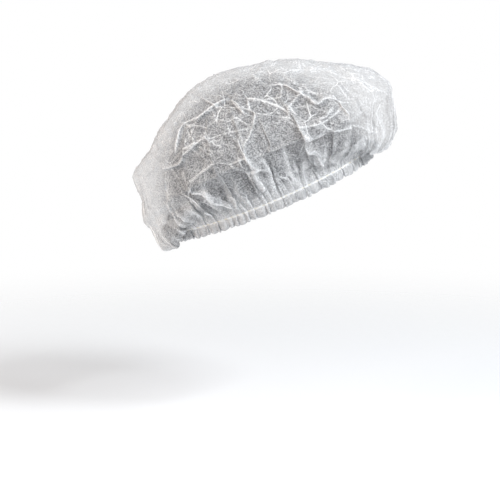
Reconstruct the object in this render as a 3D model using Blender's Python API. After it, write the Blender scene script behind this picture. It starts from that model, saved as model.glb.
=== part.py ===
"""Disposable bouffant cap, as worn: a gathered crown of nonwoven cloth, its turned-up hem and the elastic in it.

Metres, +Z up, the wearer facing -Y and the wearer's right side at -X. The origin is the middle of the elastic's
loop. The pieces are modelled with the loop level, and one empty leans them back by the tilt that the cap is worn at.
"""

import math

import bmesh
import bpy
import numpy as np

# Sizes that the head sets.
OPENING_LENGTH = 0.195  # inside of the hem, forehead to nape
OPENING_WIDTH = 0.147  # inside of the hem, over the ears
BROW_TAPER_PERCENT = 5  # how much narrower the opening is at the brow than at the back
EAR_DIP = 0.003  # how much lower the hem runs over the ears
WORN_TILT = math.radians(22.8)  # the brow is higher than the nape

# Sizes of the crown.
CROWN_HEIGHT = 0.116  # elastic to the highest point, square to the elastic's plane
PUFF_REACH = 0.041  # how far the fullest puff, at the brow, stands out past the hem
APEX_BACK = 0.006  # the highest point lies this far behind the middle

# Cloth, elastic and hem.
CLOTH_WALL = 0.001
ELASTIC_DIAMETER = 0.0012
PIECE_GAP = 0.0003  # between pieces that touch
CINCH_HALF = 0.001  # half the height of the flat strip where the elastic holds the cloth
HEM_BELOW = 0.0095  # elastic down to the folded edge
HEM_ABOVE = 0.012  # elastic up to the free edge of the turned-up flap

# Gathers and folds.
GATHER_COUNT = 96  # gathers at the elastic; they merge two by two further up
GATHER_DEPTH = 0.0022
FOLD_HEIGHT = 0.0060
BUMP_HEIGHT = 0.005
STATION_DEGREES = 45  # a station is about as long as this many degrees of azimuth

# The cloth's way from the elastic to its widest point, at azimuths from the brow (0) round to the nape (180), and the
# same on both sides. Out is a share of PUFF_REACH and rise of CROWN_HEIGHT, except the lip's rise, a share of
# HEM_ABOVE. Roundness is the exponent of the arch from the belly to the apex.
PUFF_COLUMNS = (
    "azimuth", "lip_out", "lip_rise", "pouch_out", "pouch_rise",
    "skirt_out", "skirt_rise", "belly_out", "belly_rise", "roundness",
)
PUFF_ROWS = (
    (0, 0.11, 0.36, 0.31, -0.065, 0.72, 0.050, 0.95, 0.340, 1.57),
    (20, 0.10, 0.40, 0.28, -0.035, 0.66, 0.075, 0.93, 0.340, 1.60),
    (45, 0.05, 0.50, 0.14, 0.080, 0.44, 0.155, 0.76, 0.330, 1.78),
    (70, 0.03, 0.60, 0.08, 0.110, 0.24, 0.205, 0.47, 0.370, 1.92),
    (100, 0.03, 0.60, 0.07, 0.110, 0.18, 0.210, 0.34, 0.370, 2.00),
    (130, 0.03, 0.60, 0.08, 0.095, 0.23, 0.170, 0.36, 0.320, 1.95),
    (155, 0.10, 0.50, 0.20, -0.020, 0.30, 0.020, 0.37, 0.220, 1.84),
    (180, 0.13, 0.45, 0.27, -0.075, 0.34, -0.020, 0.36, 0.160, 1.76),
)

# Folds: each a ridge, or a dent where the height is below 0, along a curve through three places of azimuth and
# station. Azimuth is 0 at the brow, 90 on the wearer's right and 180 at the nape. Height is a share of FOLD_HEIGHT,
# and width is in degrees.
FOLD_COLUMNS = (
    "start_azimuth", "start", "middle_azimuth", "middle", "end_azimuth", "end", "height", "width",
)
FOLD_ROWS = (
    (91, 1.35, 90, 1.85, 92, 2.20, 0.90, 3.6),
    (84, 2.32, 85, 2.44, 88, 2.52, 0.50, 3.6),
    (92, 1.75, 95, 1.94, 96, 2.08, 0.60, 3.6),
    (88, 2.52, 114, 2.49, 127, 2.30, 0.90, 4.2),
    (104, 2.22, 120, 2.27, 138, 2.22, 0.90, 4.2),
    (110, 1.15, 114, 1.66, 121, 1.93, 1.00, 4.0),
    (121, 1.10, 123, 1.70, 129, 2.00, 1.00, 4.0),
    (122, 1.88, 124, 2.04, 125, 2.14, 0.60, 3.6),
    (133, 1.32, 135, 1.72, 140, 2.02, 0.90, 4.0),
    (139, 1.45, 142, 1.64, 146, 1.84, 0.60, 3.6),
    (157, 1.60, 154, 1.80, 150, 2.05, -0.60, 5.0),
    (164, 1.60, 167, 1.80, 166, 2.15, 0.70, 5.0),
    (178, 1.50, 176, 1.90, 180, 2.16, 0.50, 6.0),
    (62, 2.50, 52, 2.26, 39, 1.92, 1.00, 4.2),
    (46, 2.18, 55, 2.04, 43, 1.88, 0.70, 3.8),
    (66, 2.08, 60, 1.99, 53, 1.96, 0.60, 3.6),
    (57, 1.40, 61, 1.76, 65, 1.92, 0.90, 4.0),
    (47, 1.25, 49, 1.50, 52, 1.75, 0.70, 3.6),
    (72, 1.20, 74, 1.50, 78, 1.80, 0.50, 3.6),
    (33, 1.55, 32, 1.70, 35, 1.88, 0.60, 4.0),
    (22, 1.60, 24, 1.80, 27, 2.00, 0.60, 4.2),
    (21, 2.10, 26, 2.20, 24, 2.38, 0.60, 4.2),
    (4, 1.75, 0, 2.10, 3, 2.45, 0.40, 6.0),
    (348, 1.66, 344, 1.90, 349, 2.30, 0.70, 5.0),
    (332, 1.58, 330, 1.80, 322, 2.20, 0.90, 4.4),
    (318, 1.80, 306, 2.15, 290, 2.50, 0.90, 4.4),
    (306, 1.20, 303, 1.55, 296, 1.90, 0.80, 4.0),
    (288, 1.25, 286, 1.60, 278, 2.05, 0.80, 4.0),
    (271, 1.20, 268, 1.70, 272, 2.30, 0.90, 4.2),
    (255, 1.15, 250, 1.60, 244, 1.95, 0.90, 4.0),
    (262, 2.36, 246, 2.46, 228, 2.36, 0.80, 4.2),
    (240, 1.20, 234, 1.65, 230, 2.05, 0.80, 4.0),
    (220, 1.50, 216, 1.72, 208, 2.00, 0.80, 4.2),
    (204, 1.60, 200, 1.80, 196, 2.15, 0.70, 5.0),
)

# Broad bumps and dents of the crown. Height is a share of BUMP_HEIGHT, and spread is in degrees and in stations.
BUMP_COLUMNS = ("azimuth", "station", "height", "width", "length")
BUMP_ROWS = (
    (180, 2.28, 1.60, 22, 0.10),
    (178, 2.62, -0.50, 40, 0.16),
    (178, 1.80, -0.30, 20, 0.14),
    (2, 2.20, 0.30, 26, 0.14),
    (0, 2.44, -0.30, 34, 0.12),
    (64, 2.30, -0.50, 16, 0.20),
    (76, 1.80, -0.40, 12, 0.20),
    (105, 2.05, 0.50, 18, 0.16),
    (128, 2.10, -0.50, 12, 0.12),
    (240, 2.15, 0.50, 18, 0.18),
    (298, 2.25, -0.60, 18, 0.20),
    (262, 1.85, -0.40, 14, 0.16),
    (30, 2.70, 0.50, 40, 0.14),
)

# Stations along the cloth: 0 the folded edge, 1 the top of the cinched strip, 2 the belly, 3 the apex.
FINE_STATIONS = (1.11, 1.23, 1.36, 1.50)  # rows with two points for each gather
MIDDLE_STATIONS = (1.62, 1.74, 1.86, 1.98, 2.09, 2.20, 2.31, 2.42, 2.54)  # half as many points
TOP_STATIONS = (2.67, 2.80, 2.92)  # a quarter as many

# How strongly each size of gather shows at stations along the cloth.
GATHER_STATIONS = (1.0, 1.23, 1.50, 1.75, 2.0, 2.3, 2.6)
FINE_GATHERS = (0.35, 0.90, 0.45, 0.0, 0.0, 0.0, 0.0)
PAIRED_GATHERS = (0.0, 0.10, 0.40, 0.50, 0.25, 0.05, 0.0)
BROAD_GATHERS = (0.0, 0.0, 0.15, 0.45, 0.45, 0.25, 0.0)

CLOTH_COLOR = (0.86, 0.87, 0.885, 1.0)
ELASTIC_COLOR = (0.88, 0.86, 0.80, 1.0)
CLOTH_ROUGHNESS = 0.85
ELASTIC_ROUGHNESS = 0.6


def table_value(columns, rows, name, azimuth):
    """One column of a table that is the same on both sides, read at any azimuth by a smooth curve."""
    place = columns.index(name)
    at = np.array([row[0] for row in rows], float)
    values = np.array([row[place] for row in rows], float)
    at = np.concatenate([-at[:0:-1], at, 360 - at[-2::-1]])
    values = np.concatenate([values[:0:-1], values, values[-2::-1]])
    slopes = np.gradient(values, at)
    turned = np.mod(np.degrees(azimuth) + 180, 360) - 180
    index = np.clip(np.searchsorted(at, turned, side="right") - 1, 0, len(at) - 2)
    step = at[index + 1] - at[index]
    share = (turned - at[index]) / step
    return (
        values[index] * (1 + 2 * share) * (1 - share) ** 2
        + slopes[index] * step * share * (1 - share) ** 2
        + values[index + 1] * share**2 * (3 - 2 * share)
        + slopes[index + 1] * step * share**2 * (share - 1)
    )


def opening_point(azimuth, outward=0.0):
    """The opening's outline in plan, moved outward by a distance: x, y."""
    half_width = OPENING_WIDTH / 2
    half_length = OPENING_LENGTH / 2
    narrowing = 1 - BROW_TAPER_PERCENT / 100 * (1 + np.cos(azimuth)) / 2
    x = -half_width * narrowing * np.sin(azimuth)
    y = -half_length * np.cos(azimuth)
    normal_x = -half_length * np.sin(azimuth)
    normal_y = -half_width * narrowing * np.cos(azimuth)
    size = np.hypot(normal_x, normal_y)
    return x + outward * normal_x / size, y + outward * normal_y / size


def ear_drop(azimuth):
    """How far the hem is lowered at an azimuth."""
    return -EAR_DIP * np.sin(azimuth) ** 2


def spline(points, share):
    """A smooth curve through five control values, at shares from 0 to 1."""
    last = len(points) - 1
    place = np.clip(share * last, 0, last - 1e-9)
    index = int(place)
    local = place - index
    before = points[max(index - 1, 0)]
    start = points[index]
    end = points[index + 1]
    after = points[index + 2] if index + 2 <= last else points[last]
    start_slope = (end - before) / 2 if index else end - start
    end_slope = (after - start) / 2
    return (
        start * (1 + 2 * local) * (1 - local) ** 2
        + start_slope * local * (1 - local) ** 2
        + end * local**2 * (3 - 2 * local)
        + end_slope * local**2 * (local - 1)
    )


def casing_outward():
    """From the opening's outline out to the crown's outer face at the elastic."""
    return 2 * CLOTH_WALL + 2 * PIECE_GAP + ELASTIC_DIAMETER


def crown_edge_rise():
    """The crown's lower edge, which rests on the hem's folded foot."""
    return -HEM_BELOW + CLOTH_WALL + PIECE_GAP


def smooth_crown(azimuth, station):
    """The crown's outer face without gathers and folds, at one station for an array of azimuths: n by 3."""
    drop = ear_drop(azimuth)
    column = lambda name: table_value(PUFF_COLUMNS, PUFF_ROWS, name, azimuth)
    if station <= 1:
        rises = (crown_edge_rise(), -CINCH_HALF, CINCH_HALF)
        rise = np.interp(station, (0, 0.5, 1), rises)
        x, y = opening_point(azimuth, casing_outward())
        return np.stack([x, y, rise + drop], axis=1)
    belly_rise = column("belly_rise") * CROWN_HEIGHT
    if station <= 2:
        zero = np.zeros_like(azimuth)
        outs = [
            zero,
            column("lip_out") * PUFF_REACH,
            column("pouch_out") * PUFF_REACH,
            column("skirt_out") * PUFF_REACH,
            column("belly_out") * PUFF_REACH,
        ]
        rises = [
            zero + CINCH_HALF,
            column("lip_rise") * HEM_ABOVE,
            column("pouch_rise") * CROWN_HEIGHT,
            column("skirt_rise") * CROWN_HEIGHT,
            belly_rise,
        ]
        out = spline(outs, station - 1)
        rise = spline(rises, station - 1)
        x, y = opening_point(azimuth, casing_outward() + out)
        return np.stack([x, y, rise + drop], axis=1)
    belly_x, belly_y = opening_point(azimuth, casing_outward() + column("belly_out") * PUFF_REACH)
    angle = (station - 2) * math.pi / 2
    power = 2 / column("roundness")
    across = math.cos(angle) ** power
    up = math.sin(angle) ** power
    x = belly_x * across
    y = APEX_BACK + (belly_y - APEX_BACK) * across
    z = belly_rise + drop + (CROWN_HEIGHT - belly_rise - drop) * up
    return np.stack([x, y, z], axis=1)


def triangle_wave(turns):
    """From -1 to 1 and back once each turn."""
    return 4 * np.abs(np.mod(turns, 1) - 0.5) - 1


def gather_lift(azimuth, station):
    """How far the gathers lift the cloth off the smooth form, never inward at the hem."""
    turns = azimuth / (2 * math.pi)
    unevenness = 0.78 + 0.22 * np.sin(7 * azimuth + 1.0) * np.cos(11 * azimuth)
    if station <= 1:
        share = np.interp(station, (0, 0.5, 1), (1.0, FINE_GATHERS[0], FINE_GATHERS[0]))
        return GATHER_DEPTH * share * unevenness * (1 + triangle_wave(turns * GATHER_COUNT)) / 2
    fine = np.interp(station, GATHER_STATIONS, FINE_GATHERS) * (1 + triangle_wave(turns * GATHER_COUNT)) / 2
    paired = np.interp(station, GATHER_STATIONS, PAIRED_GATHERS) * triangle_wave(turns * GATHER_COUNT / 2)
    broad = np.interp(station, GATHER_STATIONS, BROAD_GATHERS) * triangle_wave(turns * GATHER_COUNT / 4 + 0.2)
    return GATHER_DEPTH * unevenness * (fine + paired + broad)


def turn_between(azimuth, centre):
    """Degrees from a centre azimuth, between -180 and 180."""
    return np.mod(np.degrees(azimuth) - centre + 180, 360) - 180


def fold_lift(azimuth, station):
    """The folds and the broad bumps, as a lift off the smooth form."""
    lift = np.zeros_like(azimuth)
    for row in FOLD_ROWS:
        fold = dict(zip(FOLD_COLUMNS, row))
        strongest = np.zeros_like(azimuth)
        for along in np.linspace(0.02, 0.98, 13):
            before = (1 - along) ** 2 - along * (1 - along)
            between = 4 * along * (1 - along)
            beyond = along**2 - along * (1 - along)
            centre = fold["start_azimuth"] * before + fold["middle_azimuth"] * between + fold["end_azimuth"] * beyond
            level = fold["start"] * before + fold["middle"] * between + fold["end"] * beyond
            away = np.hypot(turn_between(azimuth, centre), (station - level) * STATION_DEGREES)
            strength = math.sin(math.pi * along) ** 0.5 * np.exp(-((away / fold["width"]) ** 2))
            strongest = np.maximum(strongest, strength)
        lift += FOLD_HEIGHT * fold["height"] * strongest
    for row in BUMP_ROWS:
        bump = dict(zip(BUMP_COLUMNS, row))
        across = turn_between(azimuth, bump["azimuth"]) / bump["width"]
        along = (station - bump["station"]) / bump["length"]
        lift += BUMP_HEIGHT * bump["height"] * np.exp(-(across**2) - along**2)
    return lift * np.interp(station, (1.0, 1.25, 1.6, 3.0), (0.0, 0.2, 1.0, 1.0))


def lift_direction(azimuth, station):
    """Outward normals of the smooth crown: n by 3."""
    turn = 0.01
    step = 0.01
    lower = max(station - step, 1.0) if station > 1 else max(station - step, 0.0)
    upper = min(station + step, 2.995) if station > 1 else min(station + step, 1.0)
    around = smooth_crown(azimuth + turn, station) - smooth_crown(azimuth - turn, station)
    along = smooth_crown(azimuth, upper) - smooth_crown(azimuth, lower)
    normal = np.cross(along, around)
    return normal / np.linalg.norm(normal, axis=1)[:, None]


def crown_row(count, station):
    """One loop of the crown's outer face: count points, first at the brow."""
    azimuth = 2 * math.pi * np.arange(count) / count
    lift = gather_lift(azimuth, station) + fold_lift(azimuth, station)
    return smooth_crown(azimuth, station) + lift_direction(azimuth, station) * lift[:, None]


def new_material(name, color, roughness):
    material = bpy.data.materials.new(name)
    material.use_nodes = True
    shader = material.node_tree.nodes["Principled BSDF"]
    shader.inputs["Base Color"].default_value = color
    shader.inputs["Roughness"].default_value = roughness
    shader.inputs["Metallic"].default_value = 0.0
    return material


def new_object(name, data, material, parent):
    piece = bpy.data.objects.new(name, data)
    bpy.context.scene.collection.objects.link(piece)
    data.materials.append(material)
    piece.parent = parent
    return piece


def bridge(mesh, lower, upper):
    """Faces between two loops whose counts are equal or two to one."""
    if len(lower) < len(upper):
        lower, upper = upper, lower
    count = len(lower)
    ratio = count // len(upper)
    for index in range(0, count, ratio):
        after = (index + ratio) % count
        top = upper[index // ratio]
        top_after = upper[(index // ratio + 1) % len(upper)]
        if ratio == 1:
            mesh.faces.new((lower[index], top, top_after, lower[after]))
        else:
            middle = lower[index + 1]
            mesh.faces.new((lower[index], top, middle))
            mesh.faces.new((middle, top, top_after))
            mesh.faces.new((middle, top_after, lower[after]))


def build_crown(material, parent):
    """The crown's cloth: one sheet from the folded edge to the apex, made a wall by Solidify."""
    mesh = bmesh.new()
    fine = 2 * GATHER_COUNT
    plan = [(fine, station) for station in (0.0, 0.5, 1.0, *FINE_STATIONS)]
    plan += [(fine // 2, station) for station in MIDDLE_STATIONS]
    plan += [(fine // 4, station) for station in TOP_STATIONS]
    loops = []
    for count, station in plan:
        loops.append([mesh.verts.new(point) for point in crown_row(count, station)])
    for lower, upper in zip(loops, loops[1:]):
        bridge(mesh, lower, upper)
    apex = mesh.verts.new((0, APEX_BACK, CROWN_HEIGHT))
    last = loops[-1]
    for index, point in enumerate(last):
        mesh.faces.new((point, apex, last[(index + 1) % len(last)]))
    mesh.normal_update()
    data = bpy.data.meshes.new("crown")
    mesh.to_mesh(data)
    mesh.free()
    data.shade_smooth()
    crown = new_object("crown", data, material, parent)
    wall = crown.modifiers.new("cloth wall", "SOLIDIFY")
    wall.thickness = CLOTH_WALL
    wall.offset = -1
    wall.use_even_offset = False


def hem_loop(count, outward, rise, ruffle=0.0):
    """One loop of the hem: count points, at a distance out from the opening and a rise, ruffled like the edge."""
    azimuth = 2 * math.pi * np.arange(count) / count
    x, y = opening_point(azimuth, outward + ruffle * gather_lift(azimuth, 0.0))
    return np.stack([x, y, rise + ear_drop(azimuth)], axis=1)


def build_hem(material, parent):
    """The cloth's edge, folded under the crown's and turned up inside it as a flap round the elastic."""
    fine = 2 * GATHER_COUNT
    foot_bottom = -HEM_BELOW
    foot_top = foot_bottom + CLOTH_WALL
    section = (
        hem_loop(fine // 2, 0.0, foot_bottom),
        hem_loop(fine, casing_outward(), foot_bottom, ruffle=1.0),
        hem_loop(fine, casing_outward(), foot_top, ruffle=1.0),
        hem_loop(fine // 2, CLOTH_WALL, foot_top),
        hem_loop(fine // 2, CLOTH_WALL, HEM_ABOVE),
        hem_loop(fine // 2, 0.0, HEM_ABOVE),
    )
    mesh = bmesh.new()
    loops = [[mesh.verts.new(point) for point in loop] for loop in section]
    for lower, upper in zip(loops, loops[1:] + loops[:1]):
        bridge(mesh, lower, upper)
    bmesh.ops.recalc_face_normals(mesh, faces=mesh.faces)
    data = bpy.data.meshes.new("hem")
    mesh.to_mesh(data)
    mesh.free()
    new_object("hem", data, material, parent)


def build_elastic(material, parent):
    """The elastic strand in the casing, midway between the flap and the crown."""
    azimuth = 2 * math.pi * np.arange(GATHER_COUNT) / GATHER_COUNT
    x, y = opening_point(azimuth, CLOTH_WALL + PIECE_GAP + ELASTIC_DIAMETER / 2)
    z = ear_drop(azimuth)
    data = bpy.data.curves.new("elastic", "CURVE")
    data.dimensions = "3D"
    data.bevel_depth = ELASTIC_DIAMETER / 2
    data.bevel_resolution = 0
    strand = data.splines.new("POLY")
    strand.points.add(GATHER_COUNT - 1)
    for point, place in zip(strand.points, zip(x, y, z)):
        point.co = (*place, 1.0)
    strand.use_cyclic_u = True
    new_object("elastic", data, material, parent)


def main():
    for old in list(bpy.data.objects):
        bpy.data.objects.remove(old)
    worn = bpy.data.objects.new("worn_tilt", None)
    bpy.context.scene.collection.objects.link(worn)
    worn.rotation_euler.x = -WORN_TILT
    cloth = new_material("nonwoven_cloth", CLOTH_COLOR, CLOTH_ROUGHNESS)
    hem_cloth = new_material("hem_cloth", CLOTH_COLOR, CLOTH_ROUGHNESS)
    rubber = new_material("elastic_strand", ELASTIC_COLOR, ELASTIC_ROUGHNESS)
    build_crown(cloth, worn)
    build_hem(hem_cloth, worn)
    build_elastic(rubber, worn)


main()
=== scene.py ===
import math

import bpy
import numpy as np
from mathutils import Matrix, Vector, noise


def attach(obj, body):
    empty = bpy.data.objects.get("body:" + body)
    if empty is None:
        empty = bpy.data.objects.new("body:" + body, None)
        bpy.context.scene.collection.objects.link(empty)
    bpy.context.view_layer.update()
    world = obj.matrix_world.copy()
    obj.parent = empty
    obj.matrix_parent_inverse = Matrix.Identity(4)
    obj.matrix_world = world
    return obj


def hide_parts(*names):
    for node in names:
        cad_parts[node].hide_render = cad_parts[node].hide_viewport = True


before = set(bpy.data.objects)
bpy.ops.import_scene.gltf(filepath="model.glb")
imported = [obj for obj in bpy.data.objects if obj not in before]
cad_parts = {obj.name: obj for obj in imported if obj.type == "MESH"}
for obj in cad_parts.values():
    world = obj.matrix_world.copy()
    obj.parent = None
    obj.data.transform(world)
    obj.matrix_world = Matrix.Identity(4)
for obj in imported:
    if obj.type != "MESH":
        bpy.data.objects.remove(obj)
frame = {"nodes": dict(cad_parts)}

noise.seed_set(5)
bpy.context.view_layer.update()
print("frame loaded:", ", ".join(frame["nodes"]))

# The cap leans back by wornTilt about the middle of its elastic. Lengths are in metres. The shape tables give
# shares of puffReach (out) and crownHeight (rise), or of hemAbove (lip rise), as the solids' source does.
capForm = {
    "openingLength": 0.195,
    "openingWidth": 0.147,
    "browTaper": 0.05,
    "earDip": 0.003,
    "wornTilt": math.radians(22.8),
    "crownHeight": 0.1155,
    "puffReach": 0.041,
    "apexBack": 0.006,
    "hemBelow": 0.0092,
    "hemAbove": 0.012,
    "clothOut": 0.0031,  # crown cloth outside the opening's outline, at the elastic
    "flapOut": 0.0007,
    "foldOut": 0.0021,  # where both layers meet at the folded edge
    "elasticOut": 0.0019,
}

puffColumns = (
    "azimuth", "lipOut", "lipRise", "pouchOut", "pouchRise",
    "skirtOut", "skirtRise", "bellyOut", "bellyRise", "roundness",
)
puffRows = (
    (0, 0.11, 0.36, 0.31, -0.045, 0.72, 0.075, 0.95, 0.370, 1.65),
    (20, 0.10, 0.40, 0.28, -0.020, 0.66, 0.095, 0.93, 0.365, 1.66),
    (45, 0.05, 0.50, 0.14, 0.080, 0.44, 0.155, 0.76, 0.330, 1.78),
    (70, 0.03, 0.60, 0.08, 0.110, 0.24, 0.205, 0.47, 0.370, 1.92),
    (100, 0.03, 0.60, 0.07, 0.110, 0.18, 0.210, 0.34, 0.370, 2.00),
    (130, 0.03, 0.60, 0.08, 0.095, 0.23, 0.170, 0.36, 0.320, 1.95),
    (155, 0.08, 0.45, 0.09, -0.095, 0.28, -0.045, 0.37, 0.215, 1.84),
    (180, 0.10, 0.45, 0.08, -0.106, 0.31, -0.066, 0.37, 0.160, 1.76),
)

# Pinched folds: height and width in millimetres, lean, which makes one flank steep, and the places (azimuth,
# station) that the ridge runs through. Azimuth is 0 at the brow, 90 on the wearer's right, 180 at the nape.
foldRows = (
    (3.4, 2.4, 0.5, ((91, 1.40), (89, 1.60), (90, 1.78), (89, 1.88), (91, 2.02), (92, 2.10), (92, 2.20))),
    (1.6, 1.8, 0.3, ((84, 2.32), (85, 2.44), (88, 2.52))),
    (1.8, 1.6, -0.4, ((92, 1.76), (95, 1.94), (96, 2.08))),
    (3.6, 2.6, 0.6, (
        (128, 2.26), (126, 2.34), (123, 2.44), (117, 2.46),
        (111, 2.46), (106, 2.48), (96, 2.52), (88, 2.52))),
    (3.4, 2.6, 0.5, (
        (139, 2.24), (131, 2.21), (125, 2.20), (118, 2.24), (114, 2.27), (108, 2.28), (105, 2.22))),
    (3.6, 3.0, -0.3, ((108, 1.14), (111, 1.40), (114, 1.64), (115, 1.70), (117, 1.86), (121, 1.93))),
    (3.8, 3.0, 0.3, ((121, 1.14), (122, 1.45), (123, 1.66), (125, 1.84), (129, 2.00))),
    (1.8, 1.8, 0.3, ((122, 1.88), (124, 2.06), (125, 2.14))),
    (3.0, 2.4, -0.4, ((133, 1.30), (135, 1.56), (134, 1.76), (138, 1.88), (140, 2.02))),
    (1.8, 1.8, 0.3, ((139, 1.42), (142, 1.62), (145, 1.82))),
    (2.6, 3.0, 0.4, ((164, 1.62), (167, 1.80), (166, 2.15))),
    (2.2, 2.6, -0.3, ((176, 1.60), (173, 1.85), (178, 2.12))),
    (3.2, 2.4, 0.5, (
        (65, 2.52), (54, 2.48), (53, 2.40), (52, 2.32), (51, 2.24),
        (47, 2.24), (44, 2.18), (44, 2.06), (39, 1.92))),
    (2.2, 2.0, -0.5, ((46, 2.18), (51, 2.12), (55, 2.10), (52, 1.98), (43, 1.90))),
    (2.0, 2.0, 0.4, ((66, 2.08), (61, 1.96), (54, 1.96))),
    (3.4, 2.2, 0.5, ((65, 1.90), (62, 1.82), (59, 1.76), (57, 1.46), (56, 1.25))),
    (1.6, 1.5, 0.0, ((48, 1.28), (49, 1.45), (50, 1.62), (54, 1.80))),
    (1.6, 1.5, 0.0, ((44, 1.35), (45, 1.55), (43, 1.75))),
    (1.4, 1.4, 0.0, ((53, 1.30), (54, 1.50), (57, 1.66))),
    (1.8, 1.6, 0.3, ((74, 1.20), (75, 1.42), (79, 1.66))),
    (1.4, 1.5, -0.3, ((83, 1.18), (84, 1.35), (82, 1.52))),
    (1.4, 1.5, 0.3, ((99, 1.18), (100, 1.38), (98, 1.58))),
    (2.0, 2.4, 0.3, ((23, 2.30), (26, 2.14), (21, 2.12))),
    (1.8, 3.2, 0.2, ((27, 1.94), (24, 1.80), (22, 1.66))),
    (1.8, 2.6, -0.3, ((34, 2.02), (33, 1.85), (35, 1.70), (33, 1.58))),
    (1.6, 2.4, 0.3, ((12, 2.34), (8, 2.16), (10, 1.98), (7, 1.78))),
    (1.4, 2.2, 0.3, ((30, 2.52), (18, 2.44), (8, 2.50))),
    (1.2, 2.2, -0.3, ((74, 2.72), (58, 2.66), (40, 2.70))),
    (1.4, 2.2, 0.3, ((150, 2.54), (138, 2.48), (128, 2.60))),
    (2.6, 2.4, 0.4, ((348, 1.62), (344, 1.84), (349, 2.10), (346, 2.30))),
    (2.8, 2.4, 0.5, ((332, 1.60), (330, 1.80), (322, 2.05), (324, 2.25))),
    (3.2, 2.4, -0.5, ((320, 1.90), (312, 2.08), (306, 2.18), (298, 2.40), (288, 2.50))),
    (3.0, 2.6, 0.4, ((307, 1.22), (303, 1.50), (300, 1.74), (295, 1.92))),
    (2.8, 2.6, -0.4, ((289, 1.22), (286, 1.56), (283, 1.86), (278, 2.06))),
    (3.2, 2.6, 0.5, ((271, 1.18), (267, 1.55), (270, 1.95), (273, 2.32))),
    (3.2, 2.8, 0.4, ((255, 1.16), (251, 1.55), (247, 1.80), (243, 2.02))),
    (3.0, 2.4, 0.5, ((263, 2.34), (254, 2.44), (243, 2.46), (236, 2.40), (227, 2.38))),
    (3.0, 2.6, -0.4, ((240, 1.22), (235, 1.60), (231, 1.88), (229, 2.10))),
    (2.6, 2.6, 0.4, ((220, 1.52), (217, 1.72), (212, 1.95), (206, 2.08))),
    (2.4, 2.8, -0.3, ((204, 1.62), (200, 1.82), (196, 2.14))),
    (1.8, 2.0, 0.3, ((246, 2.20), (238, 2.12), (226, 2.16), (216, 2.24))),
    (1.8, 2.0, -0.3, ((300, 2.06), (290, 2.14), (282, 2.10), (275, 2.16))),
)

foldForm = {
    "blunt": 0.05,
    "ends": 0.6,  # how slowly a fold dies out towards its ends: 0 is all at once
    "endFade": 0.12,  # share of a fold's length in which its bright crest fades out
    "crestWidth": 0.0006,
    "crestLift": 0.0006,
    "fullCrest": 2.6,  # heights in millimetres from which the crest and the doubled band show fully
    "fullBand": 3.4,
    "bandWidth": 1.5,  # width of the doubled cloth beside the crest, as a share of the fold's
}

# Broad bumps and dents: azimuth, station, height in millimetres, spread in degrees and in stations.
bumpRows = (
    (180, 2.28, 7.0, 20, 0.09),
    (178, 2.62, -2.5, 40, 0.16),
    (178, 1.80, -1.5, 20, 0.14),
    (2, 2.20, 1.5, 26, 0.14),
    (0, 2.44, -1.5, 34, 0.12),
    (64, 2.30, -2.5, 16, 0.20),
    (76, 1.80, -2.0, 12, 0.20),
    (105, 2.05, 2.5, 18, 0.16),
    (128, 2.10, -2.5, 12, 0.12),
    (240, 2.15, 2.5, 18, 0.18),
    (298, 2.25, -3.0, 18, 0.20),
    (262, 1.85, -2.0, 14, 0.16),
    (30, 2.70, 2.0, 40, 0.14),
)

pleating = {
    "count": 84,
    "seed": 7,
    "unevenPitch": 0.17,
    "lean": 0.46,  # how far a pleat lies over, as a share of its width
    "leanSpread": 0.14,
    "turnedBack": 0.3,  # share of the pleats that lie the other way
    "sharpness": (5.0, 3.5, 6.0),  # narrow folds with flat cloth between them: single, paired, fourfold
    "sizes": (0.55, 1.15),
    "loop": 0.575,  # length round the loop that a pleat's sideways lean is a share of
    "fullDepth": 0.0020,  # depth from which a pleat leans and shows fully
    "crowding": 0.60,  # how far the mesh's columns draw in to a single pleat's seam
    "crowded": (8.0, 22.0),  # distance above the elastic, in millimetres, over which they ease apart
    "edgeRuffle": 0.0016,
    "edgeFades": (-9.5, -2.0),  # from the folded edge up to here, in millimetres
    "edgeDepth": 0.0025,  # a pleat this deep drops the edge by the whole ruffle
    "edgeWander": (0.3, 1.7),  # share and pace of the ruffle that doesn't follow the pleats
    "groove": 0.0009,  # how deep the elastic draws the cloth in
    "grooveHeight": 1.6,
    # Depth of single, paired and fourfold pleats by distance above the elastic, both in millimetres.
    "heights": (-9.5, -5.0, -1.4, 0.0, 1.4, 5.0, 10.0, 16.0, 24.0, 36.0, 52.0, 75.0, 105.0),
    "single": (2.8, 2.6, 1.6, 0.9, 1.6, 2.8, 2.8, 2.1, 1.0, 0.2, 0.0, 0.0, 0.0),
    "paired": (0.0, 0.0, 0.0, 0.0, 0.0, 0.3, 1.2, 2.2, 2.6, 1.6, 0.6, 0.1, 0.0),
    "fourfold": (0.0, 0.0, 0.0, 0.0, 0.0, 0.2, 0.6, 1.2, 2.0, 2.4, 1.9, 0.9, 0.0),
}

hemForm = {
    "topUneven": 0.0005,
    "topLoose": 0.0004,
    "calmer": 0.35,  # share by which the flap's pleats are flatter than the crown's above the elastic
    "seed": 19,
    "foldEnd": 0.0024,  # height over which the flap parts from the crown's edge
    "rises": (
        0.0, 0.0005, 0.0016, 0.0032, 0.0050, 0.0068, 0.0082, 0.0092,
        0.0102, 0.0118, 0.0138, 0.0160, 0.0182, 0.0202, 0.0214,
    ),
}

strand = {
    "diameter": 0.0011,
    "sides": 8,
    "sway": 0.00012,
    "rib": 0.10,
    "ribsPerPleat": 2,
    "showsThrough": 0.85,
    "shownWidth": 0.0009,
}

clothMesh = {
    "columns": 504,
    "hemHeights": (-0.0092, -0.0082, -0.0066, -0.0048, -0.0030, -0.0015, -0.0006),
    "fineHeights": (0.0, 0.0007, 0.0017, 0.0034, 0.0056, 0.0082, 0.0112, 0.0144),
    # Above these rows, which have all columns, follow rows with a half, a quarter and an eighth of them.
    "halfRows": 56,
    "quarterRows": 14,
    "topRows": 6,
}

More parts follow.
